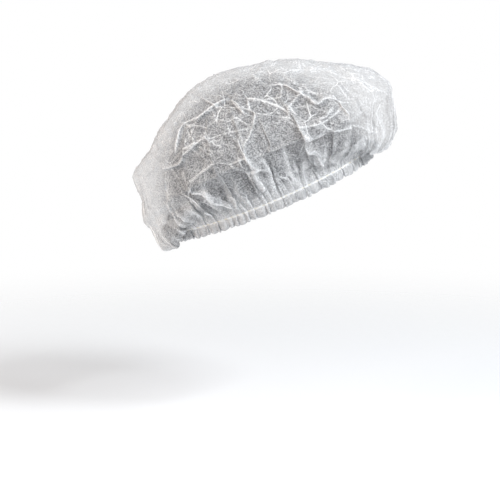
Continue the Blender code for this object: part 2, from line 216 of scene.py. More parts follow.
drape = {
    "frames": 20,
    "quality": 5,
    "growth": 0.05,  # spare cloth over the smooth form
    "hemGrowth": 0.12,
    "hold": 0.22,
    "holdStiffness": 0.4,
    "stretching": 12,
    "shearing": 6,
    "bending": 1.2,
    "mass": 0.00001,
    "damping": 2,
    "heldBelow": 0.004,
    # Share of the spare cloth by distance above the elastic.
    "spareHeights": (0.0, 0.015, 0.05, 0.12),
    "spare": (0.0, 1.0, 0.35, 0.0),
    "startWave": 0.024,  # size and height of the waves that the buckling starts from
    "startHeight": 0.0012,
    "outward": 0.0055,
    "inward": 0.0035,
}

# Sharp creases left by packing: facet size, ridge height and ridge width in metres, and how much of the cloth
# has them.
creaseRows = (
    (0.034, 0.0016, 0.0008, 0.60),
    (0.017, 0.0010, 0.0007, 0.48),
    (0.009, 0.0006, 0.0006, 0.42),
    (0.005, 0.0004, 0.0005, 0.60),
)
creaseForm = {
    "slant": (0.0, 0.59, 0.81),
    "stretch": 0.5,  # share of the way along the slant that is left out, so facets are longer that way
    "bend": 0.22,
    "bendPace": 0.8,
    "patchPace": 0.55,
    "lineWidth": 0.0005,
    "fainter": 0.27,  # how much fainter each smaller kind of line is
}
sharpBend = 500  # bend in 1/m that counts as a full ridge or valley
restNames = ("restX", "restY", "restZ")


def tableValue(name, azimuth):
    # One column of the puff table at any azimuth, the same on both sides.
    place = puffColumns.index(name)
    at = np.array([row[0] for row in puffRows], float)
    values = np.array([row[place] for row in puffRows], float)
    at = np.concatenate([-at[:0:-1], at, 360 - at[-2::-1]])
    values = np.concatenate([values[:0:-1], values, values[-2::-1]])
    slopes = np.gradient(values, at)
    turned = np.mod(np.degrees(azimuth) + 180, 360) - 180
    index = np.clip(np.searchsorted(at, turned, side="right") - 1, 0, len(at) - 2)
    step = at[index + 1] - at[index]
    share = (turned - at[index]) / step
    return (
        values[index] * (1 + 2 * share) * (1 - share) ** 2
        + slopes[index] * step * share * (1 - share) ** 2
        + values[index + 1] * share**2 * (3 - 2 * share)
        + slopes[index + 1] * step * share**2 * (share - 1)
    )


def openingPoint(azimuth, outward=0.0):
    halfWidth = capForm["openingWidth"] / 2
    halfLength = capForm["openingLength"] / 2
    narrowing = 1 - capForm["browTaper"] * (1 + np.cos(azimuth)) / 2
    x = -halfWidth * narrowing * np.sin(azimuth)
    y = -halfLength * np.cos(azimuth)
    normalX = -halfLength * np.sin(azimuth)
    normalY = -halfWidth * narrowing * np.cos(azimuth)
    size = np.hypot(normalX, normalY)
    return x + outward * normalX / size, y + outward * normalY / size


def earDrop(azimuth):
    return -capForm["earDip"] * np.sin(azimuth) ** 2


def splineValue(points, share):
    # Smooth curve through evenly spaced control values.
    last = len(points) - 1
    place = np.clip(share * last, 0, last - 1e-9)
    index = int(place)
    local = place - index
    before, start, end = points[max(index - 1, 0)], points[index], points[index + 1]
    after = points[min(index + 2, last)]
    startSlope = (end - before) / 2 if index else end - start
    endSlope = (after - start) / 2
    return (
        start * (1 + 2 * local) * (1 - local) ** 2
        + startSlope * local * (1 - local) ** 2
        + end * local**2 * (3 - 2 * local)
        + endSlope * local**2 * (local - 1)
    )


def smoothForm(azimuth, station):
    # Points of the crown without folds: station 1 at the elastic, 2 at the belly, 3 at the apex.
    def column(name):
        return tableValue(name, azimuth)

    drop = earDrop(azimuth)
    height = capForm["crownHeight"]
    reach = capForm["puffReach"]
    bellyRise = column("bellyRise") * height
    if station <= 2:
        zero = np.zeros_like(azimuth)
        outs = [zero] + [column(part + "Out") * reach for part in ("lip", "pouch", "skirt", "belly")]
        rises = [zero, column("lipRise") * capForm["hemAbove"]]
        rises += [column("pouchRise") * height, column("skirtRise") * height, bellyRise]
        x, y = openingPoint(azimuth, capForm["clothOut"] + splineValue(outs, station - 1))
        return np.stack([x, y, splineValue(rises, station - 1) + drop], axis=-1)
    bellyX, bellyY = openingPoint(azimuth, capForm["clothOut"] + column("bellyOut") * reach)
    angle = (station - 2) * math.pi / 2
    power = 2 / column("roundness")
    across = max(math.cos(angle), 0.0) ** power
    up = math.sin(angle) ** power
    x = bellyX * across
    y = capForm["apexBack"] + (bellyY - capForm["apexBack"]) * across
    z = bellyRise + drop + (height - bellyRise - drop) * up
    return np.stack([x, y, z], axis=-1)


def turnBetween(azimuth, centre):
    return np.mod(np.degrees(azimuth) - centre + 180, 360) - 180


def smoothStep(value, low, high):
    share = np.clip((value - low) / (high - low), 0, 1)
    return share * share * (3 - 2 * share)


def smoothRing(values, rounds):
    # Evens out values round a loop and brings them back to their first spread.
    spread = values.std()
    for step in range(rounds):
        values = (np.roll(values, 1) + 2 * values + np.roll(values, -1)) / 4
    return values * spread / values.std()


def outwardWays(azimuth):
    # Level directions out from the loop, square to it.
    flat = np.stack(openingPoint(azimuth, 1.0), axis=-1) - np.stack(openingPoint(azimuth, 0.0), axis=-1)
    return np.concatenate([flat, np.zeros((len(flat), 1))], axis=1)


def roundWays(outward):
    # Level directions round the loop, the way that the azimuth grows.
    return np.stack([outward[:, 1], -outward[:, 0], np.zeros(len(outward))], axis=-1)


def pleatPhases(columns):
    # Azimuth of each column and its place counted in pleats, each with as many columns but its own width.
    random = np.random.default_rng(pleating["seed"])
    pitches = np.exp(random.normal(0, pleating["unevenPitch"], pleating["count"]))
    edges = np.concatenate([[0], np.cumsum(pitches)]) / pitches.sum()
    perPleat = columns // pleating["count"]
    phase = np.arange(columns) / perPleat
    # Equal steps of length round the loop, not of angle.
    turn = np.linspace(0, 2 * math.pi, 2001)
    x, y = openingPoint(turn, capForm["clothOut"])
    length = np.concatenate([[0], np.cumsum(np.hypot(np.diff(x), np.diff(y)))])
    share = np.interp(phase, np.arange(pleating["count"] + 1), edges)
    return np.interp(share * length[-1], length, turn), phase


def loosePleats(phase, fold, seed):
    # Depth and sideways lean of pleats that have merged fold by fold, as shares of their depth and of one
    # pleat's width. Single pleats are round tabs with a narrow seam drawn in between them, and the others
    # narrow folds that stand out.
    random = np.random.default_rng(pleating["seed"] * 31 + seed)
    count = pleating["count"] // fold
    size = random.uniform(*pleating["sizes"], count)
    lean = random.normal(pleating["lean"], pleating["leanSpread"], count)
    lean *= np.where(random.uniform(0, 1, count) < pleating["turnedBack"], -1, 1)
    turns = np.mod(phase / fold + (0.5 if fold == 1 else 0.0), count)
    low = np.floor(turns).astype(int) % count
    narrow = ((1 - np.cos(2 * math.pi * turns)) / 2) ** pleating["sharpness"][seed]
    out = 0.30 - narrow if fold == 1 else narrow - 0.2
    return out * size[low], lean[low] * narrow * math.sqrt(fold), narrow * size[low]


def buildBase():
    # Rows of points from the folded edge to the apex, each with its own number of columns.
    columns = clothMesh["columns"]
    azimuth, phase = pleatPhases(columns)
    stations = np.concatenate([np.linspace(1, 2, 90), np.linspace(2, 3, 150)[1:]])
    dense = np.stack([smoothForm(azimuth, s) for s in stations])
    steps = np.linalg.norm(np.diff(dense, axis=0), axis=2)
    length = np.concatenate([np.zeros((1, columns)), np.cumsum(steps, axis=0)])
    fine = clothMesh["fineHeights"]
    free = clothMesh["halfRows"] + clothMesh["quarterRows"] + clothMesh["topRows"]
    table = []
    ways = (length[-1, 0], length[-1].min(), length[-1].mean())
    brow, shortest, mean = (round(float(way) * 1000) for way in ways)
    print("way from elastic to apex mm: brow", brow, "shortest", shortest, "mean", mean)
    for rise in clothMesh["hemHeights"]:
        meet = smoothStep(-rise, capForm["hemBelow"] - 0.0024, capForm["hemBelow"])
        x, y = openingPoint(azimuth, capForm["clothOut"] + (capForm["foldOut"] - capForm["clothOut"]) * meet)
        points = np.stack([x, y, rise + earDrop(azimuth)], axis=-1)
        table.append((1, points, np.full(columns, rise), np.full(columns, 1 + rise * 20)))
    for row in range(len(fine) + free):
        # Close to the elastic the rows keep to real heights, and above that they share out what is left.
        if row < len(fine):
            away = np.full(columns, fine[row])
        else:
            away = fine[-1] + (length[-1] - fine[-1]) * (row - len(fine) + 1) / (free + 1)
        points = np.empty((columns, 3))
        level = np.empty(columns)
        for index in range(columns):
            at = np.interp(away[index], length[:, index], stations)
            level[index] = at
            for axis in range(3):
                points[index, axis] = np.interp(at, stations, dense[:, index, axis])
        beyond = row - len(fine)
        halved = beyond >= 0
        quartered = beyond >= clothMesh["halfRows"]
        topmost = beyond >= clothMesh["halfRows"] + clothMesh["quarterRows"]
        divider = 1 + halved + 2 * quartered + 4 * topmost
        table.append((divider, points[::divider], away[::divider], level[::divider]))
    return table, azimuth, phase


def matchedRow(row, divider, count):
    # Another row's points, thinned out or repeated to the number of columns asked for.
    ownDivider, points = row[:2]
    if ownDivider <= divider:
        return points[:: divider // ownDivider]
    return np.repeat(points, ownDivider // divider, axis=0)[:count]


def rowNormals(table):
    # Outward normals of each row from its neighbours along and around.
    normals = []
    for index, row in enumerate(table):
        divider, points = row[:2]
        lower = table[max(index - 1, 0)]
        upper = table[min(index + 1, len(table) - 1)]
        along = matchedRow(upper, divider, len(points)) - matchedRow(lower, divider, len(points))
        around = np.roll(points, -1, axis=0) - np.roll(points, 1, axis=0)
        normal = np.cross(along, around)
        normals.append(normal / np.maximum(np.linalg.norm(normal, axis=1), 1e-12)[:, None])
    return normals


def foldCurve(places):
    # A fold's places as points in space on the smooth form, 6 to each span.
    places = np.array(places, float)
    count = (len(places) - 1) * 6 + 1
    curve = []
    for step in np.linspace(0, 1, count):
        azimuth = math.radians(splineValue(places[:, 0], step))
        station = float(splineValue(places[:, 1], step))
        curve.append(smoothForm(np.array([azimuth]), station)[0])
    return np.array(curve)


def foldField(points, normals):
    # How far the pinched folds lift each point, how near it lies to a crest, and the doubled cloth beside it.
    lift = np.zeros(len(points))
    crest = np.zeros(len(points))
    doubled = np.zeros(len(points))
    for height, width, lean, places in foldRows:
        curve = foldCurve(places)
        reach = width * 4e-3
        low, high = curve.min(axis=0) - reach, curve.max(axis=0) + reach
        near = np.nonzero(((points > low) & (points < high)).all(axis=1))[0]
        if len(near) == 0:
            continue
        best = np.full(len(near), 1e9)
        side = np.zeros(len(near))
        along = np.zeros(len(near))
        for index in range(len(curve) - 1):
            start, way = curve[index], curve[index + 1] - curve[index]
            share = np.clip(((points[near] - start) @ way) / (way @ way), 0, 1)
            away = points[near] - start - share[:, None] * way
            distance = np.linalg.norm(away, axis=1)
            closer = distance < best
            best[closer] = distance[closer]
            turned = np.einsum("ij,ij->i", np.cross(normals[near], way / np.linalg.norm(way)), away)
            side[closer] = np.sign(turned[closer])
            along[closer] = (index + share[closer]) / (len(curve) - 1)
        flank = width * 1e-3 * (1 + lean * side)
        strength = np.sin(math.pi * np.clip(along, 0.01, 0.99)) ** foldForm["ends"]
        blunt = foldForm["blunt"]
        ridge = np.exp(-np.sqrt((best / flank) ** 2 + blunt) + math.sqrt(blunt)) * strength
        lift[near] = np.maximum(lift[near], ridge * height * 1e-3)
        ended = smoothStep(along, 0.0, foldForm["endFade"]) * smoothStep(1 - along, 0.0, foldForm["endFade"])
        line = np.exp(-((best / foldForm["crestWidth"]) ** 2)) * min(height / foldForm["fullCrest"], 1.0)
        crest[near] = np.maximum(crest[near], ended * line)
        wide = width * foldForm["bandWidth"] * 1e-3 * strength
        steepSide = side * (1 if lean >= 0 else -1) > 0
        inBand = steepSide * (1 - smoothStep(best, wide * 0.8, wide * 1.1)) * ended
        doubled[near] = np.maximum(doubled[near], inBand * min(height / foldForm["fullBand"], 1.0))
    return lift, crest, doubled


def bumpField(azimuth, level):
    lift = np.zeros_like(azimuth)
    for centre, station, height, width, length in bumpRows:
        across = turnBetween(azimuth, centre) / width
        along = (level - station) / length
        lift += height * 1e-3 * np.exp(-(across**2) - along**2)
    return lift


def pleatShift(phase, above):
    # The pleats' push outward and sideways, in metres, and how near each point is to a fold's edge.
    millimetres = np.asarray(above) * 1000
    wide = pleating["loop"] / pleating["count"]
    crowded = pleating["crowding"] * np.interp(millimetres, pleating["crowded"], (1.0, 0.0))
    drawn = -crowded * np.sin(2 * math.pi * phase) / (2 * math.pi)
    out = -pleating["groove"] * np.exp(-((millimetres / pleating["grooveHeight"]) ** 2))
    side = drawn * wide
    crest = np.zeros_like(phase)
    for seed, (fold, name) in enumerate(((1, "single"), (2, "paired"), (4, "fourfold"))):
        depth = np.interp(millimetres, pleating["heights"], pleating[name]) / 1000
        pushed, shifted, narrow = loosePleats(phase + drawn + 0.35 * (fold > 1), fold, seed)
        out = out + depth * pushed
        shown = np.clip(depth / pleating["fullDepth"], 0, 1)
        side = side + shifted * wide * shown
        crest = np.maximum(crest, np.clip(narrow, 0, 1) ** 3 * shown / fold**0.5)
    return out, side, crest


def edgeDrop(out, phase, above):
    # How far the folded edge ruffles down, most where a pleat stands out.
    ruffle = np.interp(above * 1000, pleating["edgeFades"], (1.0, 0.0)) * pleating["edgeRuffle"]
    share, pace = pleating["edgeWander"]
    return ruffle * (out / pleating["edgeDepth"]) + ruffle * share * np.sin(phase * pace)


def shapeCloth():
    table, azimuth, phase = buildBase()
    normals = rowNormals(table)
    points, allNormals, above, level, around, column = [], [], [], [], [], []
    starts = []
    for (divider, rowPoints, rowAbove, rowLevel), rowNormal in zip(table, normals):
        starts.append(sum(len(p) for p in points))
        points.append(rowPoints)
        allNormals.append(rowNormal)
        above.append(rowAbove)
        level.append(rowLevel)
        around.append(azimuth[::divider])
        column.append(phase[::divider])
    sizes = [len(p) for p in points]
    points = np.concatenate(points)
    allNormals = np.concatenate(allNormals)
    above = np.concatenate(above)
    level = np.concatenate(level)
    around = np.concatenate(around)
    column = np.concatenate(column)
    # The pleats push level with the elastic's plane near the hem, and square to the cloth higher up.
    flat = outwardWays(around)
    blend = smoothStep(above, 0.001, 0.010)[:, None]
    push = flat * (1 - blend) + allNormals * blend
    push /= np.linalg.norm(push, axis=1)[:, None]
    tangent = roundWays(flat)
    out, side, pleatCrest = pleatShift(column, above)
    lift = foldField(points, allNormals)[0]
    lift = lift * smoothStep(above, 0.002, 0.014)
    bumps = bumpField(around, level) * smoothStep(above, 0.004, 0.02)
    shaped = points + push * out[:, None] + tangent * side[:, None] + allNormals * (lift + bumps)[:, None]
    shaped[:, 2] -= edgeDrop(out, column, above)
    return shaped, points, allNormals, above, pleatCrest, starts, sizes


def bridgeFaces(startLow, countLow, startHigh, countHigh):
    # Quads between two rows, or triangles where the upper one has half the columns.
    faces = []
    if countLow == countHigh:
        for i in range(countLow):
            j = (i + 1) % countLow
            faces.append((startLow + i, startHigh + i, startHigh + j, startLow + j))
        return faces
    for i in range(countHigh):
        j = (i + 1) % countHigh
        a, b, c = startLow + 2 * i, startLow + 2 * i + 1, startLow + (2 * i + 2) % countLow
        faces.append((a, startHigh + i, b))
        faces.append((b, startHigh + i, startHigh + j))
        faces.append((b, startHigh + j, c))
    return faces


def newObject(name, vertices, faces, smooth=True):
    mesh = bpy.data.meshes.new(name)
    mesh.from_pydata([tuple(v) for v in vertices], [], faces)
    if smooth:
        mesh.polygons.foreach_set("use_smooth", [True] * len(mesh.polygons))
    mesh.update()
    piece = bpy.data.objects.new(name, mesh)
    bpy.context.scene.collection.objects.link(piece)
    return piece


def setAttribute(mesh, name, values):
    attribute = mesh.attributes.get(name) or mesh.attributes.new(name, "FLOAT", "POINT")
    attribute.data.foreach_set("value", np.asarray(values, np.float32))


def getAttribute(mesh, name):
    values = np.zeros(len(mesh.vertices), np.float32)
    mesh.attributes[name].data.foreach_get("value", values)
    return values


def getPoints(mesh):
    points = np.zeros(len(mesh.vertices) * 3)
    mesh.vertices.foreach_get("co", points)
    return points.reshape(-1, 3)


def setPoints(mesh, points):
    mesh.vertices.foreach_set("co", np.ascontiguousarray(points, np.float32).ravel())
    mesh.update()


def vertexNormals(mesh):
    values = np.zeros(len(mesh.vertices) * 3, np.float32)
    mesh.vertex_normals.foreach_get("vector", values)
    return values.reshape(-1, 3).astype(float)


def weightGroup(piece, name, weights):
    group = piece.vertex_groups.new(name=name)
    steps = np.round(np.clip(weights, 0, 1) * 60).astype(int)
    for step in np.unique(steps):
        group.add([int(i) for i in np.nonzero(steps == step)[0]], step / 60, "REPLACE")


def applyModifiers(piece):
    graph = bpy.context.evaluated_depsgraph_get()
    mesh = bpy.data.meshes.new_from_object(piece.evaluated_get(graph))
    old = piece.data
    piece.modifiers.clear()
    piece.data = mesh
    bpy.data.meshes.remove(old)
    return mesh


def drapeCloth(piece, normals, above):
    # Lets the spare cloth buckle into its own folds, held softly to the form.
    rest = getPoints(piece.data)
    wave = np.array([noise.noise(Vector(point) / drape["startWave"]) for point in rest])
    start = rest + normals * (wave * drape["startHeight"] * smoothStep(above, 0.004, 0.02))[:, None]
    setPoints(piece.data, start)
    weightGroup(piece, "hold", np.where(above < drape["heldBelow"], 1.0, drape["hold"]))
    weightGroup(piece, "spare", np.interp(above, drape["spareHeights"], drape["spare"]))
    cloth = piece.modifiers.new("drape", "CLOTH")
    settings = cloth.settings
    settings.quality = drape["quality"]
    settings.mass = drape["mass"]
    settings.tension_stiffness = drape["stretching"]
    settings.compression_stiffness = drape["stretching"]
    settings.shear_stiffness = drape["shearing"]
    settings.bending_stiffness = drape["bending"]
    settings.air_damping = drape["damping"]
    settings.effector_weights.gravity = 0
    settings.vertex_group_mass = "hold"
    settings.pin_stiffness = drape["holdStiffness"]
    settings.vertex_group_shrink = "spare"
    settings.shrink_min = -drape["growth"]
    settings.shrink_max = -drape["hemGrowth"]
    cloth.collision_settings.use_collision = False
    scene = bpy.context.scene
    cloth.point_cache.frame_start = 1
    cloth.point_cache.frame_end = drape["frames"]
    for step in range(1, drape["frames"] + 1):
        scene.frame_set(step)
    applyModifiers(piece)
    scene.frame_set(1)
    moved = getPoints(piece.data) - rest
    along = np.einsum("ij,ij->i", moved, normals)
    size = np.linalg.norm(moved, axis=1)
    mean, furthest = (round(float(way) * 1000, 2) for way in (size.mean(), size.max()))
    print("drape moved mm: mean", mean, "furthest", furthest)
    limited = np.clip(along, -drape["inward"], drape["outward"])
    moved += normals * (limited - along)[:, None]
    size = np.linalg.norm(moved, axis=1)
    moved *= (np.minimum(size, drape["outward"] * 1.3) / np.maximum(size, 1e-9))[:, None]
    setPoints(piece.data, rest + moved)


def creaseField(points, above):
    # Lift and brightness of the packing creases: straight lines between flat facets, longest along the slant.
    slant = np.array(creaseForm["slant"])
    points = points - np.outer(points @ slant, slant) * creaseForm["stretch"]
    lift = np.zeros(len(points))
    line = np.zeros(len(points))
    fade = smoothStep(above, 0.006, 0.022)
    for number, (cell, height, width, share) in enumerate(creaseRows):
        edge = np.empty(len(points))
        present = np.empty(len(points))
        shift = Vector((3.1 * number, 1.7, 5.3))
        for index, point in enumerate(points):
            place = Vector(point) / cell + shift
            bend = noise.noise_vector(place * creaseForm["bendPace"]) * creaseForm["bend"]
            near = noise.voronoi(place + bend)[0]
            edge[index] = (near[1] - near[0]) * cell
            present[index] = noise.noise(place * creaseForm["patchPace"] + shift)
        strength = smoothStep(present, 0.35 - share, 0.75 - share)
        sign = np.where(present > 0.12, 1.0, 0.55)
        ridge = np.exp(-edge / width)
        lift += fade * strength * sign * height * (ridge - 0.25)
        bright = np.exp(-((edge / creaseForm["lineWidth"]) ** 2)) * (1.0 - creaseForm["fainter"] * number)
        line = np.maximum(line, fade * strength * bright)
    return lift, line


def edgeEnds(mesh):
    ends = np.zeros(len(mesh.edges) * 2, int)
    mesh.edges.foreach_get("vertices", ends)
    return ends.reshape(-1, 2).T


def bendField(mesh, normals):
    # How sharply the cloth bends at each point, in 1/m: below zero on ridges, above zero in valleys.
    points = getPoints(mesh)
    first, second = edgeEnds(mesh)
    way = points[second] - points[first]
    size = np.maximum((way**2).sum(axis=1), 1e-12)
    total = np.zeros(len(points))
    count = np.zeros(len(points))
    for a, b, sign in ((first, second, 1.0), (second, first, -1.0)):
        total += np.bincount(a, np.einsum("ij,ij->i", way * sign, normals[a]) / size * 2, len(points))
        count += np.bincount(a, minlength=len(points))
    return total / np.maximum(count, 1)


def smoothValues(mesh, values, rounds):
    first, second = edgeEnds(mesh)
    size = len(values)
    count = 1 + np.bincount(first, minlength=size) + np.bincount(second, minlength=size)
    for step in range(rounds):
        total = values + np.bincount(first, values[second], size) + np.bincount(second, values[first], size)
        values = total / count
    return values


def markBends(piece):
    # Ridges and valleys as attributes for the cloth's material.
    mesh = piece.data
    bend = smoothValues(mesh, bendField(mesh, vertexNormals(mesh)), 1)
    setAttribute(mesh, "ridge", np.clip(-bend / sharpBend, 0, 1))
    setAttribute(mesh, "valley", np.clip(bend / sharpBend, 0, 1))


def refine(piece):
    finer = piece.modifiers.new("finer", "SUBSURF")
    finer.levels = 1
    finer.render_levels = 1
    applyModifiers(piece)
    piece.data.polygons.foreach_set("use_smooth", [True] * len(piece.data.polygons))


def takeVectors(mesh, names):
    # Reads three attributes as vectors and takes them off the mesh.
    vectors = np.stack([getAttribute(mesh, name) for name in names], axis=-1).astype(float)
    for name in names:
        mesh.attributes.remove(mesh.attributes[name])
    return vectors


def buildCrown():
    points, rest, normals, above, pleatCrest, starts, sizes = shapeCloth()
    faces = []
    for index in range(len(sizes) - 1):
        faces += bridgeFaces(starts[index], sizes[index], starts[index + 1], sizes[index + 1])
    apex = len(points)
    top = [[0, capForm["apexBack"], capForm["crownHeight"]]]
    points = np.concatenate([points, top])
    rest = np.concatenate([rest, top])
    normals = np.concatenate([normals, [[0, 0, 1.0]]])
    above = np.append(above, 0.2)
    last = starts[-1]
    for i in range(sizes[-1]):
        faces.append((last + i, apex, last + (i + 1) % sizes[-1]))
    crown = newObject("crown_cloth", points, faces)
    setAttribute(crown.data, "above", above)
    setAttribute(crown.data, "pleat", np.append(pleatCrest, 0.0))
    for axis, name in enumerate(restNames):
        setAttribute(crown.data, name, rest[:, axis])
        setAttribute(crown.data, name + "Normal", normals[:, axis])
    print("crown base:", len(points), "points,", len(faces), "faces")
    drapeCloth(crown, normals, above)
    refine(crown)
    mesh = crown.data
    smooth = takeVectors(mesh, restNames)
    square = takeVectors(mesh, [name + "Normal" for name in restNames])
    height = getAttribute(mesh, "above").astype(float)
    crest, doubled = foldField(smooth, square)[1:]
    print("folds marked")
    lift, line = creaseField(smooth, height)
    lift += crest * foldForm["crestLift"]
    setPoints(mesh, getPoints(mesh) + vertexNormals(mesh) * lift[:, None])
    fade = smoothStep(height, 0.0, 0.006)
    strandLine = strand["showsThrough"] * np.exp(-((height / strand["shownWidth"]) ** 2))
    setAttribute(mesh, "crest", np.maximum(crest * fade, strandLine))
    setAttribute(mesh, "doubled", doubled * fade)
    setAttribute(mesh, "line", line)
    markBends(crown)
    print("crown finished:", len(mesh.vertices), "points")
    return crown


def buildHem():
    # The flap turned up inside: its pleats run with the crown's, and its upper edge is loose.
    columns = clothMesh["columns"]
    azimuth, phase = pleatPhases(columns)
    rows = hemForm["rises"]
    random = np.random.default_rng(hemForm["seed"])
    uneven = smoothRing(random.normal(0, 1, columns), 10) * hemForm["topUneven"]
    flat = outwardWays(azimuth)
    tangent = roundWays(flat)
    points, above, crests = [], [], []
    for rise in rows:
        height = rise - capForm["hemBelow"]
        meet = 1 - smoothStep(rise, 0.0, hemForm["foldEnd"])
        x, y = openingPoint(azimuth, capForm["flapOut"] + (capForm["foldOut"] - capForm["flapOut"]) * meet)
        share = rise / rows[-1]
        level = height + earDrop(azimuth) + uneven * share**2
        out, side, crest = pleatShift(phase, np.full(columns, height))
        follow = 1 - hemForm["calmer"] * smoothStep(height, 0.001, 0.012)
        row = np.stack([x, y, level], axis=-1)
        out = out + pleating["groove"] * math.exp(-((height * 1000 / pleating["grooveHeight"]) ** 2))
        row += flat * (out * follow)[:, None] + tangent * (side * follow)[:, None]
        row += flat * (smoothRing(random.normal(0, 1, columns), 16) * hemForm["topLoose"] * share**2)[:, None]
        row[:, 2] -= edgeDrop(out, phase, height)
        points.append(row)
        above.append(np.full(columns, height))
        crests.append(crest * follow)
    faces = []
    for index in range(len(rows) - 1):
        for i in range(columns):
            j = (i + 1) % columns
            low, high = index * columns, (index + 1) * columns
            faces.append((low + i, low + j, high + j, high + i))
    hem = newObject("hem_flap", np.concatenate(points), faces)
    setAttribute(hem.data, "above", np.concatenate(above))
    setAttribute(hem.data, "pleat", np.concatenate(crests))
    refine(hem)
    for name in ("crest", "doubled", "line"):
        setAttribute(hem.data, name, np.zeros(len(hem.data.vertices)))
    markBends(hem)
    print("hem finished:", len(hem.data.vertices), "points")
    return hem


def buildElastic():
    # A covered strand, drawn tight in the casing, so the cloth's pleats bend it only slightly.
    columns = clothMesh["columns"]
    azimuth, phase = pleatPhases(columns)
    x, y = openingPoint(azimuth, capForm["elasticOut"])
    sway = strand["sway"] * np.sin(2 * math.pi * phase)
    centre = np.stack([x, y, earDrop(azimuth) + sway], axis=-1)
    flat = outwardWays(azimuth)
    up = np.array([0, 0, 1.0])
    points, faces = [], []
    sides = strand["sides"]
    for i in range(sides):
        angle = 2 * math.pi * i / sides
        ribs = np.sin(2 * math.pi * phase * strand["ribsPerPleat"] + angle)
        radius = strand["diameter"] / 2 * (1 + strand["rib"] * ribs)
        across, raised = np.cos(angle) * radius, np.sin(angle) * radius
        points.append(centre + flat * across[:, None] + up * raised[:, None])
    for i in range(sides):
        low, high = i * columns, (i + 1) % sides * columns
        for j in range(columns):
            after = (j + 1) % columns
            faces.append((low + j, low + after, high + after, high + j))
    elastic = newObject("elastic_strand", np.concatenate(points), faces)
    print("elastic finished:", len(elastic.data.vertices), "points")
    return elastic


def leanBack(piece):
    # Turns the finished mesh by the tilt that the cap is worn at.
    points = getPoints(piece.data)
    cos, sin = math.cos(-capForm["wornTilt"]), math.sin(-capForm["wornTilt"])
    turned = points.copy()
    turned[:, 1] = points[:, 1] * cos - points[:, 2] * sin
    turned[:, 2] = points[:, 1] * sin + points[:, 2] * cos
    setPoints(piece.data, turned)


class NodeSheet:
    # Shortens the making of node trees: each call adds a node, sets its inputs and returns it.
    def __init__(self, tree):
        self.tree = tree

    def add(self, kind, settings=None, **inputs):
        node = self.tree.nodes.new(kind)
        for name, value in (settings or {}).items():
            setattr(node, name, value)
        for name, value in inputs.items():
            self.put(node, name.replace("_", " "), value)
        return node

    def put(self, node, name, value):
        socket = node.inputs[int(name[1:])] if name[0] == "n" and name[1:].isdigit() else node.inputs[name]
        if isinstance(value, bpy.types.NodeSocket):
            self.tree.links.new(value, socket)
        else:
            socket.default_value = value

    def math(self, operation, *values):
        node = self.tree.nodes.new("ShaderNodeMath")
        node.operation = operation
        for index, value in enumerate(values):
            self.put(node, "n" + str(index), value)
        return node.outputs[0]

    def scaled(self, vector, factor):
        node = self.tree.nodes.new("ShaderNodeVectorMath")
        node.operation = "SCALE"
        self.put(node, "Vector", vector)
        self.put(node, "Scale", factor)
        return node.outputs[0]

    def range(self, value, low, high, start=0.0, end=1.0, kind="SMOOTHSTEP"):
        node = self.tree.nodes.new("ShaderNodeMapRange")
        node.interpolation_type = kind
        self.put(node, "Value", value)
        for name, number in (("From Min", low), ("From Max", high), ("To Min", start), ("To Max", end)):
            self.put(node, name, number)
        return node.outputs["Result"]

    def attribute(self, name):
        node = self.tree.nodes.new("ShaderNodeAttribute")
        node.attribute_name = name
        return node.outputs["Fac"]


def newGroup(name, inputs, outputs):
    group = bpy.data.node_groups.new(name, "ShaderNodeTree")
    for label, value in inputs:
        socket = group.interface.new_socket(label, in_out="INPUT", socket_type="NodeSocketFloat")
        socket.default_value = value
    for label in outputs:
        group.interface.new_socket(label, in_out="OUTPUT", socket_type="NodeSocketFloat")
    return group, NodeSheet(group), group.nodes.new("NodeGroupInput"), group.nodes.new("NodeGroupOutput")


webForm = {
    "turns": ((0.3, 0.9, 0.2), (1.4, 0.2, 1.1), (0.8, 2.1, 2.4), (2.3, 1.3, 0.5)),
    "longer": (1.0, 0.30, 1.0),
    "threadBand": 0.040,
    "clumpPace": 0.75,
    "clumps": (0.36, 0.60, 0.35, 1.0),
}


def spunbondWeb():
    # Threads laid at random, and the clouds of thinner and thicker web that they make.
    sizes = (("Thread Size", 0.0007), ("Cloud Size", 0.006))
    group, sheet, given, result = newGroup("spunbondWeb", sizes, ("Threads", "Clouds"))
    place = sheet.add("ShaderNodeTexCoord").outputs["Object"]
    fine = sheet.scaled(place, sheet.math("DIVIDE", 1.0, given.outputs["Thread Size"]))
    threads = None
    for turn in webForm["turns"]:
        laid = sheet.add("ShaderNodeMapping", Vector=fine, Rotation=turn, Scale=webForm["longer"]).outputs[0]
        wave = sheet.add("ShaderNodeTexNoise", Vector=laid, Scale=1.0, Detail=2.0, Roughness=0.6)
        away = sheet.math("ABSOLUTE", sheet.math("SUBTRACT", wave.outputs["Fac"], 0.5))
        thread = sheet.range(away, 0.0, webForm["threadBand"], 1.0, 0.0)
        threads = thread if threads is None else sheet.math("MAXIMUM", threads, thread)
    clumps = sheet.add("ShaderNodeTexNoise", Vector=fine, Scale=webForm["clumpPace"], Detail=1.0)
    dense = sheet.range(clumps.outputs["Fac"], *webForm["clumps"])
    threads = sheet.math("MULTIPLY", threads, dense)
    broad = sheet.scaled(place, sheet.math("DIVIDE", 1.0, given.outputs["Cloud Size"]))
    cloud = sheet.add("ShaderNodeTexNoise", Vector=broad, Scale=1.0, Detail=3.0, Roughness=0.65)
    group.links.new(threads, result.inputs["Threads"])
    group.links.new(sheet.range(cloud.outputs["Fac"], 0.3, 0.7), result.inputs["Clouds"])
    return group


